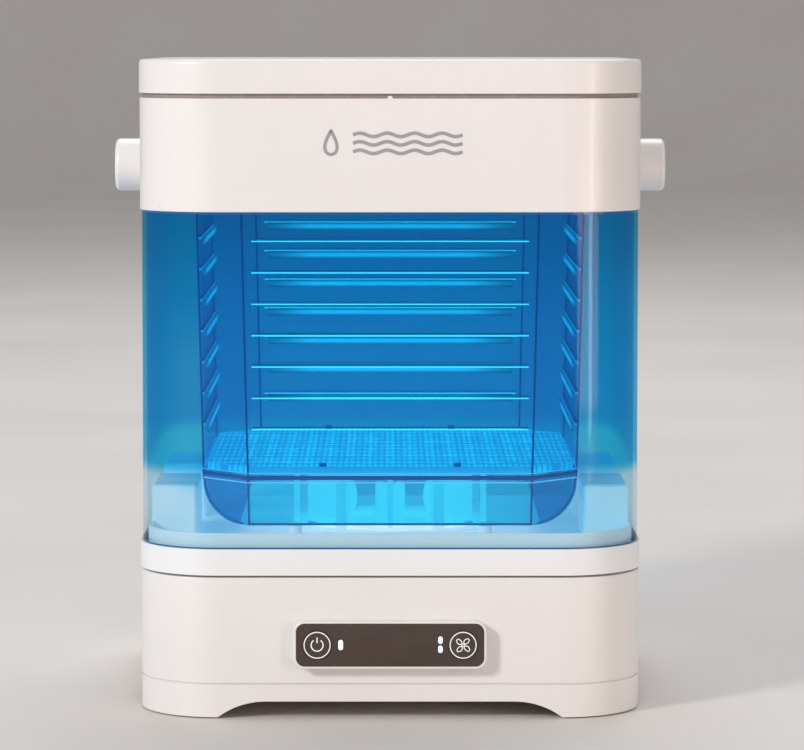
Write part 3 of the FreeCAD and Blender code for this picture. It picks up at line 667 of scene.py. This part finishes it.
# painted shade line at the ledge, with painted highlight lines above and below it
new_piece("ledge_line_painted_shade", basket_rings([0.1340], 0.0003, WALL_LINE, 0.0012), "lip_dark", "basket")
new_piece("ledge_line_painted_highlight", basket_rings([0.1366, 0.1312], 0.0003, WALL_LINE, 0.0003), "lip_painted_soft_highlight", "basket")
new_piece("skirt_edges_painted_shade", skirt_lines, "line", "basket")
# the upper tank line is painted shadow under the band
new_piece("tank_edges", tank_lines, "line", "bucket")


# ------------------------------------------------------------------ room, light and camera

EYE_HEIGHT = 0.387
EYE_DISTANCE = 2.214
EYE_DOWN = 0.2667  # drop of the view's axis, over FOCAL_RATIO
SENSOR_WIDTH = 36.0  # mm
FOCAL_RATIO = 4.548  # focal length over sensor width
SHIFT_UP = -0.15
SHIFT_SIDE = 0.0148


def make_camera():
    """Long lens a little above the lid, straight in front."""
    data = bpy.data.cameras.new("camera")
    camera = bpy.data.objects.new("camera", data)
    bpy.context.scene.collection.objects.link(camera)
    data.sensor_width = SENSOR_WIDTH
    data.lens = SENSOR_WIDTH * FOCAL_RATIO
    data.shift_x = SHIFT_SIDE
    data.shift_y = SHIFT_UP
    camera.location = (0, -EYE_DISTANCE, EYE_HEIGHT)
    camera.rotation_euler = (math.pi / 2 - math.atan(EYE_DOWN / FOCAL_RATIO), 0, 0)
    bpy.context.scene.camera = camera


def make_light(name, spot, aim, size, power, colour):
    """Rectangular lamp at a spot, turned towards its aim."""
    data = bpy.data.lights.new(name, "AREA")
    data.shape = "RECTANGLE"
    data.size, data.size_y = size
    data.energy = power
    data.color = colour
    light = bpy.data.objects.new(name, data)
    bpy.context.scene.collection.objects.link(light)
    light.location = spot
    light.rotation_euler = (Vector(aim) - Vector(spot)).to_track_quat("-Z", "Y").to_euler()


def make_floor():
    """Plain pale floor that curves up far away, so that no horizon shows."""
    spokes, steps, flat, curve = 64, 8, 7.0, 1.4
    profile = [(0.6, 0.0), (2.0, 0.0)]
    for step in range(steps + 1):
        turn = math.radians(90 * step / steps)
        profile.append((flat + curve * math.sin(turn), curve * (1 - math.cos(turn))))
    shape = bmesh.new()
    middle = shape.verts.new((0, 0, 0))
    turns = [2 * math.pi * spoke / spokes for spoke in range(spokes)]
    rings = []
    for radius, height in profile:
        rings.append([shape.verts.new((radius * math.cos(t), radius * math.sin(t), height)) for t in turns])
    for spoke in range(spokes):
        after = (spoke + 1) % spokes
        shape.faces.new((middle, rings[0][spoke], rings[0][after]))
        for inner, outer in zip(rings, rings[1:]):
            shape.faces.new((inner[spoke], outer[spoke], outer[after], inner[after]))
    mesh = bpy.data.meshes.new("floor")
    shape.to_mesh(mesh)
    shape.free()
    for face in mesh.polygons:
        face.use_smooth = True
    floor = bpy.data.objects.new("floor", mesh)
    bpy.context.scene.collection.objects.link(floor)
    tree = Tree("pale_floor")
    mottle = tree.noise(3.0, 4.0)
    tone = tree.blend(tree.span(mottle, 0.3, 0.7, 0, 1), (0.70, 0.645, 0.60, 1), (0.74, 0.69, 0.645, 1))
    tree.feed("Base Color", tone)
    tree.feed("Roughness", tree.span(mottle, 0.3, 0.7, 0.5, 0.6))
    mesh.materials.append(tree.material)


def make_world(colour, strength):
    """Even light from all round."""
    world = bpy.data.worlds.new("studio")
    bpy.context.scene.world = world
    world.use_nodes = True
    ground = world.node_tree.nodes["Background"]
    ground.inputs["Color"].default_value = colour
    ground.inputs["Strength"].default_value = strength


make_camera()
make_floor()
make_world((0.42, 0.43, 0.45, 1), 1.0)
make_light("key", (-2.0, -1.95, 1.45), (0, 0, 0.2), (0.5, 0.5), 50, (1.0, 0.99, 0.98))
make_light("bounce", (1.1, -1.3, 0.16), (0, 0, 0.08), (0.9, 0.28), 3.3, (1.0, 0.56, 0.30))
make_light("back", (0.3, 2.2, 3.2), (0, 0, 0.2), (2.2, 2.2), 64, (0.95, 0.98, 1.0))
make_light("streak", (1.15, -1.2, 0.45), (0, 0, 0.25), (0.12, 1.0), 3, (0.95, 0.98, 1.0))
bpy.context.scene.view_settings.view_transform = "Standard"
bpy.context.scene.cycles.transparent_max_bounces = 48
